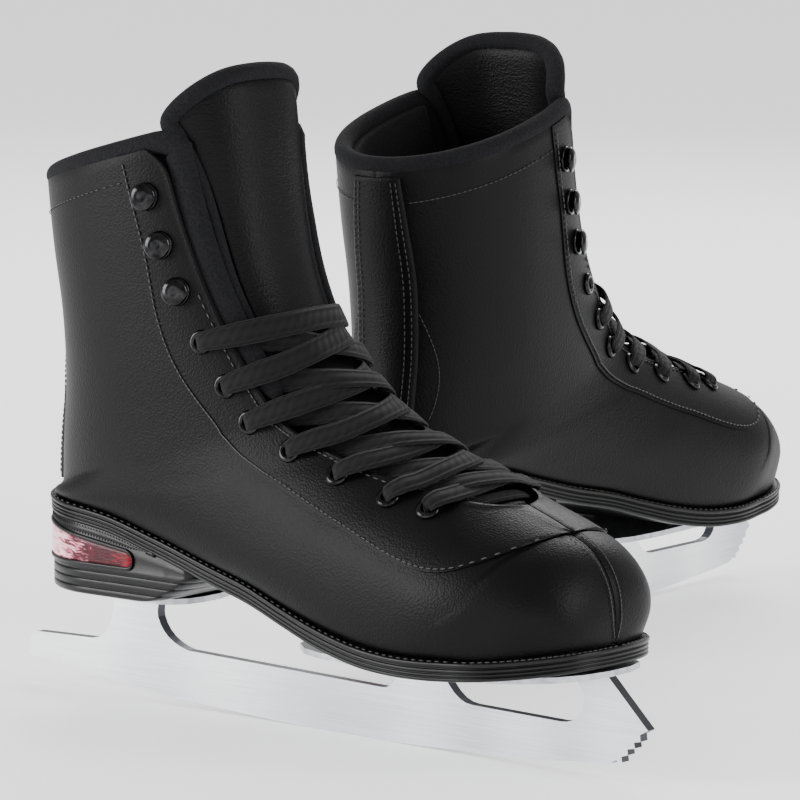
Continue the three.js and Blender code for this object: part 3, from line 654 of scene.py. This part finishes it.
ROLL_STEPS, ROLL_SINK = 160, -2.6
roll_v = through([(0, 4.4), (0.12, 3.2), (0.28, 1.7), (0.42, 0.35), (0.46, 0.05), (0.49, -0.09),
                  (0.53, -0.13), (1, -0.13)])
roll_half = through([(0, 2.2), (0.06, 4.2), (0.4, 5.2), (0.46, 4.9), (0.53, 3.8), (1, 3.7)])
collar_start = t_at_width(0, 33.4)


def roll_centre(reach, away):
    v = roll_v(reach)
    along_edge = t_at_width(max(v, 0), max(2, throat(v) - 1.9))
    share = min(1, max(0, (reach - 0.46) / 0.54))
    t = along_edge if share == 0 else collar_start + (1 - collar_start) * share
    return last(v, min(0.9999, t), away)


def roll_frame(reach, half):
    p, outer = roll_centre(reach, ROLL_SINK), roll_centre(reach, ROLL_SINK + 1)
    ahead = (roll_centre(min(1, reach + 0.01), ROLL_SINK)
             - roll_centre(max(0, reach - 0.01), ROLL_SINK))
    normal = (outer - p).normalized()
    if half < 0:
        for w in (p, ahead, normal):
            w.y *= -1
        ahead = -ahead
    return p, ahead.normalized(), normal


roll_rows = [roll_frame(1 - abs(2 * k / ROLL_STEPS - 1), 1 if k <= ROLL_STEPS / 2 else -1)
             for k in range(ROLL_STEPS + 1)]


def roll_at(a, b):
    k = round(a * ROLL_STEPS)
    p, ahead, normal = roll_rows[k]
    side = ahead.cross(normal).normalized()
    reach = 1 - abs(2 * a - 1)
    end = min(1, reach / 0.02) ** 0.5 if reach < 0.02 else 1
    turn = 2 * math.pi * b
    lift = min(1, max(0, (0.42 - reach) / 0.1))
    thick = 2.7 + 0.7 * min(1, max(0, (reach - 0.4) / 0.15))
    return (p + side * (roll_half(reach) * end * math.cos(turn))
            + normal * (thick * end * math.sin(turn) - 0.4 + 0.5 * lift))


bm = shaped_grid(ROLL_STEPS, 18, roll_at, close_across=True)
for obj in pair_of("collar_roll", bm, knit, ["collar_binding"]):
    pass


def lining_at(a, b, away=0.0):
    v = -0.05 + 4.77 * a
    across = 2 * b - 1
    start = behind_edge(v, 0.5)
    puff = 0.5 * math.sin(a * 9) * math.sin(abs(across) * 7)
    p = last(v, 1 - (1 - start) * abs(across), -4.9 + puff * 0.5 + away)
    p.y = p.y if across >= 0 else -p.y
    return p


bm = shaped_grid(30, 60, lining_at, lambda a, b: lining_at(a, b, 1))
for obj in pair_of("knit_lining", bm, knit, ["lining"],
                   mods=[("SOLIDIFY", {"thickness": 0.004, "offset": -1}),
                         ("BEVEL", {"width": 0.0012, "segments": 3, "limit_method": "ANGLE"})]):
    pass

# Tongue: leather over thin foam, stitched in low under the laces; a knit roll binds its top and
# sides. Fine creases run across it.
TONGUE_TOP, TONGUE_FOOT, TONGUE_SINK = -0.8, 9.72, -5.9
tongue_half = through([(-0.8, 16), (-0.74, 24), (-0.62, 30), (-0.42, 34.5), (-0.3, 34.2),
                       (0.0, 32), (0.2, 30.4), (0.5, 28.2), (1, 25.4), (2, 22.5), (3, 21),
                       (4, 20.2), (5, 19.8), (6, 20.5), (7, 22), (8, 21.8), (9, 18.8),
                       (9.6, 12.6), (9.8, 7)])


def tongue_at(a, b):
    v = TONGUE_TOP + (TONGUE_FOOT - TONGUE_TOP) * a
    turn = 2 * math.pi * b
    c, s = math.cos(turn), math.sin(turn)
    wide = tongue_half(v) * math.copysign(abs(c) ** 0.7, c)
    ends = min(1, a / 0.012, (1 - a) / 0.02) ** 0.5
    away = TONGUE_SINK + 2.9 * ends * math.copysign(abs(s) ** 0.6, s)
    t = max(0.0015, t_at_width(v, abs(wide)))
    p = last(v, t, away)
    p.y = math.copysign(abs(wide) if abs(wide) < 6 else p.y, wide)
    return p


bm = shaped_grid(110, 48, tongue_at, close_across=True)
tongues = pair_of("padded_tongue", bm, tongue_leather, ["tongue_upper", "tongue_lower"], body=None)


BIND_STEPS, BIND_SINK = 120, -5.6
tongue_edge_v = through([(0, 3.6), (0.15, 2.2), (0.3, 0.8), (0.45, -0.1), (0.55, -0.35),
                         (0.64, -0.52), (0.72, -0.66), (0.8, -0.76), (0.88, -0.81), (1, -0.83)])
tongue_edge_w = through([(0, 21.5), (0.15, 24.5), (0.3, 28.2), (0.45, 33.8), (0.55, 35.6),
                         (0.64, 33.5), (0.72, 28.6), (0.8, 21.5), (0.88, 13.5), (1, 0.0)])


def tongue_edge(reach, away):
    v = tongue_edge_v(reach)
    wide = tongue_edge_w(reach)
    t = max(0.0015, t_at_width(v, wide))
    p = last(v, t, away)
    if wide < 6:
        p.y = wide
    return p


def tongue_roll_frame(k):
    u = 2 * k / BIND_STEPS - 1
    reach = 1 - abs(u)
    p, outer = tongue_edge(reach, BIND_SINK), tongue_edge(reach, BIND_SINK + 1)
    ahead = (tongue_edge(min(1, reach + 0.01), BIND_SINK)
             - tongue_edge(max(0, reach - 0.01), BIND_SINK))
    normal = (outer - p).normalized()
    if u > 0:
        for w in (p, ahead, normal):
            w.y *= -1
        ahead = -ahead
    return p, ahead.normalized(), normal


tongue_rows = [tongue_roll_frame(k) for k in range(BIND_STEPS + 1)]


def tongue_roll_at(a, b):
    p, ahead, normal = tongue_rows[round(a * BIND_STEPS)]
    side = ahead.cross(normal).normalized()
    reach = 1 - abs(2 * a - 1)
    end = min(1, reach / 0.03 + 0.01) ** 0.5
    turn = 2 * math.pi * b
    slim = 0.72 + 0.28 * min(1, max(0, (reach - 0.36) / 0.14))
    across, proud = 3.4 * slim * math.cos(turn), 3.7 * slim * math.sin(turn)
    return p + (side * across + normal * proud) * end


bm = shaped_grid(BIND_STEPS, 14, tongue_roll_at, close_across=True)
tongue_rolls = pair_of("tongue_binding", bm, knit, body=None)
tongue_run = Vector((-11, 0, 20)).normalized()
FOLD_REACH = 7
for obj, roll, foot in zip(tongues, tongue_rolls, ("right", "left")):
    low, high = (stand[foot] @ (FOLD + tongue_run * d) for d in (-FOLD_REACH, FOLD_REACH))
    for soft in (obj, roll):
        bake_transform(soft)
        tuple(low)
        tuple(high)

# Eyelets and hooks: brass plated in black nickel. Eyelets are rolled rings; hooks are a riveted
# base with a domed cap on a short neck that the lace would catch under.
nickel, nickel_tree, nickel_shader = finish_named("black_nickel_plate", Metallic=1.0,
                                                  Roughness=0.16)
plate_wear = add(nickel_tree, "ShaderNodeTexNoise", {"Scale": 350, "Detail": 4},
                 Vector=add(nickel_tree, "ShaderNodeTexCoord").outputs["Object"]).outputs["Fac"]
coloured(nickel_tree, nickel_shader, plate_wear, [(0.35, "#1a1a1b"), (0.7, "#333334")])
glossed(nickel_tree, nickel_shader, plate_wear, 0.1, 0.24)


def spun(bm, outline, at, segments=28):
    """A turned part: its outline of radius and height is spun round and set at a place."""
    verts = [bm.verts.new((r, 0, z)) for r, z in outline]
    edges = [bm.edges.new(pair) for pair in zip(verts, verts[1:])]
    made = bmesh.ops.spin(bm, geom=verts + edges, cent=(0, 0, 0), axis=(0, 0, 1), angle=2 * math.pi,
                          steps=segments, use_merge=True, use_duplicate=False)
    fresh = set(verts)
    for item in made["geom_last"]:
        if isinstance(item, bmesh.types.BMVert):
            fresh.add(item)
    grown = True
    while grown:
        more = {e.other_vert(v) for v in fresh for e in v.link_edges} - fresh
        grown = bool(more)
        fresh |= more
    bmesh.ops.remove_doubles(bm, verts=list(fresh), dist=0.001)
    fresh = [v for v in fresh if v.is_valid]
    faces = list({f for v in fresh for f in v.link_faces})
    bmesh.ops.recalc_face_normals(bm, faces=faces)
    bmesh.ops.transform(bm, matrix=at, verts=fresh)


def seat_on(point, normal):
    up = normal.normalized()
    sideways = Vector((0, 0, 1)).cross(up).normalized()
    frame_of = Matrix((sideways, up.cross(sideways), up)).transposed().to_4x4()
    frame_of.translation = point
    return frame_of


EYELET_RING = [(2.0, -3.0), (2.0, 1.1), (2.3, 1.75), (2.9, 2.05), (3.6, 1.95), (4.2, 1.5),
               (4.4, 0.95), (4.2, 0.55), (2.9, 0.5), (2.9, -3.0), (2.0, -3.0)]
HOOK_BASE = [(0.0, 0.5), (4.9, 0.5), (5.1, 0.95), (4.7, 1.5), (3.9, 1.65), (2.4, 1.7),
             (1.9, 2.2), (1.8, 3.0), (0.0, 3.0)]
HOOK_CAP = [(0.0, 2.4), (3.8, 2.3), (4.6, 2.5), (4.9, 2.9), (4.8, 3.4), (4.2, 3.8),
            (3.4, 4.3), (2.3, 4.6), (1.2, 4.5), (0.0, 4.4)]
for side_name, side in SIDES.items():
    bm = bmesh.new()
    for v in EYELETS:
        spun(bm, EYELET_RING, seat_on(*hole_at(v, side)))
    for v in HOOKS:
        point, normal = hole_at(v, side)
        spun(bm, HOOK_BASE, seat_on(point, normal))
        back = last(v, behind_edge(v, EYELET_MARGIN) + 0.03)
        back.y *= side
        tilt = (normal + (point - back).normalized() * 0.2).normalized()
        spun(bm, HOOK_CAP, seat_on(point + (point - back).normalized() * -0.6, tilt))
    pair_of(f"{side_name}_eyelets_and_hooks", bm, nickel, [f"{side_name}_eyelets"])

# Sole: a moulded rubber unit with a welt lip round the upper and three grooves along its edge.
rubber, rubber_tree, rubber_shader = finish_named(
    "moulded_sole_rubber", Roughness=0.34, Specular_IOR_Level=0.22,
    Coat_Weight=0.04, Coat_Roughness=0.2)
rubber_place = add(rubber_tree, "ShaderNodeTexCoord").outputs["Object"]
scuffs = add(rubber_tree, "ShaderNodeTexNoise", {"Scale": 90, "Detail": 6},
             Vector=rubber_place).outputs["Fac"]
stipple = add(rubber_tree, "ShaderNodeTexNoise", {"Scale": 1500, "Detail": 2}, Vector=rubber_place)
coloured(rubber_tree, rubber_shader, scuffs, [(0.35, "#040405"), (0.7, "#09090a")])
glossed(rubber_tree, rubber_shader, scuffs, 0.26, 0.46)
bumped(rubber_tree, rubber_shader, stipple.outputs["Fac"], 0.12, 0.0003)
TOE_HALF = 43


def sole_rim(u, inset):
    """Round the sole in plan: u is 0 at the back of the heel and 1 or -1 at the toe tip."""
    reach = abs(u)
    if reach < 0.13:
        turn = reach / 0.13 * math.pi / 2
        x = HEEL_CENTRE - (HEEL_CAP - inset) * math.cos(turn)
        y = (HEEL_HALF - inset) * math.sin(turn)
    elif reach < 0.72:
        x = HEEL_CENTRE + (TOE_CENTRE - HEEL_CENTRE) * (reach - 0.13) / 0.59
        y = sole_side(x) - inset
    else:
        turn = (reach - 0.72) / 0.28 * math.pi / 2
        x = TOE_CENTRE + (TOE_CAP - inset) * math.sin(turn) ** (2 / TOE_POWER)
        y = (TOE_HALF - inset) * max(0, math.cos(turn)) ** (2 / TOE_POWER)
    return x, math.copysign(y, u)


# Edge profiles run inwards, across and down: inset in mm, share of the width kept, share down.
SOLE_EDGE = [(6, 0, 0), (6, 1, 0), (0.9, 1, 0), (0.2, 1, 0.03), (0, 1, 0.08), (0, 1, 0.2),
             (0.3, 1, 0.25), (1.0, 1, 0.28), (1.0, 1, 0.33), (0.45, 1, 0.37), (0.35, 1, 0.42),
             (0.35, 1, 0.5), (0.95, 1, 0.54), (0.95, 1, 0.58), (0.4, 1, 0.62), (0.4, 1, 0.7),
             (1.0, 1, 0.74), (1.0, 1, 0.78), (0.45, 1, 0.82), (0.45, 1, 0.92), (0.8, 1, 0.98),
             (1.4, 1, 1.0), (8, 1, 1.0), (8, 0, 1.0)]
FINE_EDGE = [("BEVEL", {"width": 0.00015, "segments": 1, "limit_method": "ANGLE"})]


def sole_at(a, b):
    inset, keep, drop = SOLE_EDGE[round(b * (len(SOLE_EDGE) - 1))]
    x, y = sole_rim(2 * a - 1, inset)
    return drawn_toe(Vector((x, y * keep, sole_top(x) + (sole_bottom(x) - sole_top(x)) * drop)))


bm = shaped_grid(220, len(SOLE_EDGE) - 1, sole_at, close_across=True)
pair_of("rubber_sole", bm, rubber, ["outsole"], mods=FINE_EDGE)


def welt_line(a):
    x, y = sole_rim(2 * a - 1, 1.1)
    return drawn_toe(Vector((x, y, sole_top(x) + 0.05))), Vector((0, 0, 1))


bm = bmesh.new()
stitched(bm, welt_line, 190, lift=0.1, length=2.2, width=0.55, fractions=(0.0, 0.999))
pair_of("welt_stitching", bm, thread)

# Heel: a hollow-looking rubber block moulded with a rib band, a red light window let into its
# back and sides, three grooves below it, and a breast that curves forward into the shank.
BREAST_RADIUS = 7
HEEL_FRONT, BREAST_FOOT, BREAST_RUN = 70, 47, 23


def heel_rim(u, inset, front):
    reach = abs(u)
    if reach < 0.36:
        turn = reach / 0.36 * math.pi / 2
        return (HEEL_CENTRE - (HEEL_CAP - inset) * math.cos(turn),
                math.copysign((HEEL_HALF - inset) * math.sin(turn), u))
    stop = front - BREAST_RADIUS
    if reach < 0.74:
        x = HEEL_CENTRE + (stop - HEEL_CENTRE) * (reach - 0.36) / 0.38
        return x, math.copysign(sole_side(x) - inset, u)
    turn = (reach - 0.74) / 0.26 * math.pi / 2
    x = stop + (BREAST_RADIUS - inset * 0.3) * math.sin(turn) ** 0.6
    y = (sole_side(stop) - inset) * max(0, math.cos(turn)) ** 0.6
    return x, math.copysign(y, u)


HEEL_FOOT, HEEL_SHOULDER = 42.5, 53.2
HEEL_EDGE = [(6, 0, 0), (6, 1, 0), (1.2, 1, 0), (1.2, 1, 0.5), (1.2, 1, 0.97), (1.1, 1, 1.0),
             (1.1, 1, 1.1), (1.2, 1, 1.14), (1.7, 1, 1.16), (1.7, 1, 1.18), (1.15, 1, 1.2),
             (1.1, 1, 1.26), (1.1, 1, 1.42), (1.7, 1, 1.44), (1.7, 1, 1.46), (1.15, 1, 1.48),
             (1.1, 1, 1.54), (1.1, 1, 1.7), (1.7, 1, 1.72), (1.7, 1, 1.74), (1.15, 1, 1.76),
             (1.1, 1, 1.88), (1.3, 1, 1.95), (2.0, 1, 2.0), (8, 1, 2.0), (8, 0, 2.0)]


def heel_level(x, level):
    top = sole_bottom(x) - 0.2
    return (top + (HEEL_SHOULDER - top) * min(1, level)
            + (HEEL_FOOT - HEEL_SHOULDER) * max(0, level - 1))


def heel_at(a, b):
    inset, keep, level = HEEL_EDGE[round(b * (len(HEEL_EDGE) - 1))]
    front = HEEL_FRONT if level < 1 else BREAST_FOOT + BREAST_RUN * max(0, 2 - level) ** 0.625
    x, y = heel_rim(2 * a - 1, inset, front)
    return Vector((x, y * keep, heel_level(x, level)))


bm = shaped_grid(150, len(HEEL_EDGE) - 1, heel_at, close_across=True)
pair_of("rubber_heel", bm, rubber, ["heel_block"], mods=FINE_EDGE)

RIB_COUNT = 120
LENS_FRONT, LENS_FOOT = 40, 53.9
lens_top = through([(-17, 68.2), (39, 60.2)])


def ribs_at(a, b):
    proud = 0.7 if round(a * RIB_COUNT * 2) % 2 else 1.15
    x, y = heel_rim((2 * a - 1) * 0.64, proud + (0.5 if b in (0, 1) else 0), HEEL_FRONT)
    top, foot = sole_bottom(x) - 0.4, lens_top(min(x, LENS_FRONT)) + 0.9
    return Vector((x, y, top + (foot - top) * b))


bm = shaped_grid(RIB_COUNT * 2, 3, ribs_at, lambda a, b: ribs_at(a, b) * 1.02)
pair_of("heel_rib_band", bm, rubber, mods=[("SOLIDIFY", {"thickness": 0.0008, "offset": -1})])

# Light window: clear red acrylic over a crumpled metallised reflector, drawn as one opaque red skin
# with the reflector's light painted in: a painted reflection, pale pink and crumpled at the back,
# fading to deep red in front; a rubber bead frames it.
acrylic, acrylic_tree, acrylic_shader = finish_named(
    "red_acrylic_painted_reflector_glints", Roughness=0.3, Specular_IOR_Level=0.12,
    Coat_Weight=0.15, Coat_Roughness=0.05)
lens_uv = add(acrylic_tree, "ShaderNodeUVMap").outputs[0]
stretched = add(acrylic_tree, "ShaderNodeMapping", {"Scale": (3.0, 0.8, 1)}, Vector=lens_uv)
# Crumple noise: it gives the bump and also the painted reflector glints in the colour.
crumples_and_painted_glints = add(acrylic_tree, "ShaderNodeTexNoise", {"Scale": 9, "Detail": 5, "Distortion": 1.4},
           Vector=stretched.outputs[0]).outputs["Fac"]
along = add(acrylic_tree, "ShaderNodeSeparateXYZ", Vector=lens_uv)
from_back = add(acrylic_tree, "ShaderNodeMath", {"operation": "SUBTRACT", 1: 0.5},
                _0=along.outputs[0])
to_front = add(acrylic_tree, "ShaderNodeMath", {"operation": "ABSOLUTE"}, _0=from_back.outputs[0])
painted_reflection_fade = add(acrylic_tree, "ShaderNodeMath", {"operation": "MULTIPLY_ADD", 1: 0.36},
            _0=crumples_and_painted_glints, _2=to_front.outputs[0])
# Painted reflection of the reflector: pale pink crumpled glints towards the back, deep red towards
# the front.
coloured(acrylic_tree, acrylic_shader, painted_reflection_fade.outputs[0],
         [(0.38, "#f0c0c8"), (0.44, "#c87a8a"), (0.48, "#4e0c1c"), (0.6, "#2e060e"),
          (0.68, "#7a0e1e")])
bumped(acrylic_tree, acrylic_shader, crumples_and_painted_glints, 0.5, 0.0006)


def lens_rim(u, inset):
    reach = abs(u)
    if reach < 0.6:
        turn = reach / 0.6 * math.pi / 2
        return (HEEL_CENTRE - (HEEL_CAP - inset) * math.cos(turn),
                math.copysign((HEEL_HALF - inset) * math.sin(turn), u))
    x = HEEL_CENTRE + (LENS_FRONT - HEEL_CENTRE) * (reach - 0.6) / 0.4
    return x, math.copysign(sole_side(x) - inset, u)


def lens_at(a, b, away=0.0):
    u = 2 * a - 1
    dome = min(1, b / 0.14, (1 - b) / 0.14, (1 - abs(u)) / 0.03)
    x, y = lens_rim(u, 1.6 - 1.15 * math.sqrt(max(0, dome)) - away)
    nose = max(0, (abs(u) - 0.93) / 0.07)
    half = (lens_top(x) - LENS_FOOT) / 2 * max(0.0, 1 - nose ** 3) ** 0.5
    middle = (lens_top(x) + LENS_FOOT) / 2
    return Vector((x, y, middle + half * (1 - 2 * b)))


bm = shaped_grid(120, 14, lens_at, lambda a, b: lens_at(a, b, 1))
pair_of("heel_light_window", bm, acrylic, ["heel_lens"],
        mods=[("SOLIDIFY", {"thickness": 0.0012, "offset": -1})])


def bead_at(a, b):
    """Round the window's outline once: along the top edge one way and back along the foot."""
    turn = 2 * math.pi * a
    c, s = math.cos(turn), math.sin(turn)
    u = math.copysign(abs(c) ** 0.55, c)
    p = lens_at((u + 1) / 2, 0.0 if s >= 0 else 1.0)
    x, y = lens_rim(u, 0.75)
    ring = 2 * math.pi * b
    outward = Vector((x - HEEL_CENTRE - 4, y, 0)).normalized()
    share = min(1, abs(s) / 0.4)
    centre = Vector((x, y, p.z))
    return centre + outward * (0.65 * math.cos(ring)) + Vector((0, 0, 0.8 * math.sin(ring)))


bm = shaped_grid(200, 8, bead_at, close_across=True)
pair_of("window_bead", bm, rubber)

# Footbed: die-cut foam with a knit face, loose on the insole board.
FOOTBED_LIFT = 2.4
FOOTBED_EDGE = [(10.5, 0, 0), (10.5, 1, 0), (10.9, 1, 1.2), (11.5, 1, 2.4), (12.6, 1, 3.0),
                (14, 0.6, 3.1), (14, 0, 3.0)]


def footbed_at(a, b):
    inset, keep, rise = FOOTBED_EDGE[round(b * (len(FOOTBED_EDGE) - 1))]
    x, y = sole_rim(2 * a - 1, inset)
    return drawn_toe(Vector((x, y * keep, sole_top(x) + FOOTBED_LIFT + rise)))


bm = shaped_grid(120, len(FOOTBED_EDGE) - 1, footbed_at, close_across=True)
for obj in pair_of("knit_faced_footbed", bm, knit, ["footbed"]):
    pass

# Blade, plates and screws: carbon steel runner, nickel plated and brushed lengthwise, its cut
# edges duller; plates and screws zinc plated.
steel = {}
for foot in ("right", "left"):
    metal, tree, shader = finish_named(f"{foot}_brushed_plated_steel", Metallic=1.0, Roughness=0.28)
    steel[foot] = metal
    place = add(tree, "ShaderNodeTexCoord")
    stretch = add(tree, "ShaderNodeMapping", {"Scale": (26, 26, 2600)},
                  Vector=place.outputs["Object"])
    lines = add(tree, "ShaderNodeTexNoise", {"Scale": 1.0, "Detail": 6, "Roughness": 0.7},
                Vector=stretch.outputs[0]).outputs["Fac"]
    upright = add(tree, "ShaderNodeMapping", {"Scale": (16, 16, 2)}, Vector=place.outputs["Object"])
    bands = add(tree, "ShaderNodeTexNoise", {"Scale": 1.0, "Detail": 1}, Vector=upright.outputs[0])
    tone = add(tree, "ShaderNodeMath", {"operation": "MULTIPLY_ADD", 1: 0.35}, _0=lines,
               _2=bands.outputs["Fac"])
    brushed = add(tree, "ShaderNodeValToRGB", Fac=tone.outputs[0])
    ramp(brushed, [(0.48, "#bcc2ca"), (0.8, "#f4f5f6")])
    flat = add(tree, "ShaderNodeVectorMath", {"operation": "DOT_PRODUCT"},
               _0=place.outputs["Normal"])
    flat.inputs[1].default_value = (-math.sin(YAW[foot]), math.cos(YAW[foot]), 0)
    level = add(tree, "ShaderNodeMath", {"operation": "ABSOLUTE"}, _0=flat.outputs["Value"])
    mask = add(tree, "ShaderNodeMath", {"operation": "GREATER_THAN", 1: 0.9}, _0=level.outputs[0])
    both = add(tree, "ShaderNodeMix", {"data_type": "RGBA"}, _0=mask.outputs[0])
    both.inputs[6].default_value = tint("#4a4c50")
    tree.links.new(brushed.outputs[0], both.inputs[7])
    tree.links.new(both.outputs[2], shader.inputs["Base Color"])
    glossed(tree, shader, lines, 0.2, 0.44)
    bumped(tree, shader, lines, 0.25, 0.00012)
zinc, zinc_tree, zinc_shader = finish_named("bright_zinc_plate", Metallic=1.0, Roughness=0.3)
spangle = add(zinc_tree, "ShaderNodeTexNoise", {"Scale": 260, "Detail": 4},
              Vector=add(zinc_tree, "ShaderNodeTexCoord").outputs["Object"]).outputs["Fac"]
coloured(zinc_tree, zinc_shader, spangle, [(0.3, "#9a9ca0"), (0.7, "#c8cacc")])
glossed(zinc_tree, zinc_shader, spangle, 0.22, 0.42)

# Insole board, heel counter and toe box: pressed fibre board, dull and faintly flecked.
board, board_tree, board_shader = finish_named("pressed_fibre_board", Roughness=0.9)
fibres = add(board_tree, "ShaderNodeTexNoise", {"Scale": 500, "Detail": 6},
             Vector=add(board_tree, "ShaderNodeTexCoord").outputs["Object"]).outputs["Fac"]
coloured(board_tree, board_shader, fibres, [(0.3, "#5e5240"), (0.7, "#8a7a60")])
bumped(board_tree, board_shader, fibres, 0.3, 0.0004)
for node, obj in frame["nodes"].items():
    foot, kind = node.split("_", 1)
    finish = (steel[foot] if kind == "blade" else zinc if "plate" in kind or "screw" in kind
              else board if kind in ("insole_board", "heel_counter", "toe_box") else None)
    if finish:
        obj.data.materials.clear()
        obj.data.materials.append(finish)
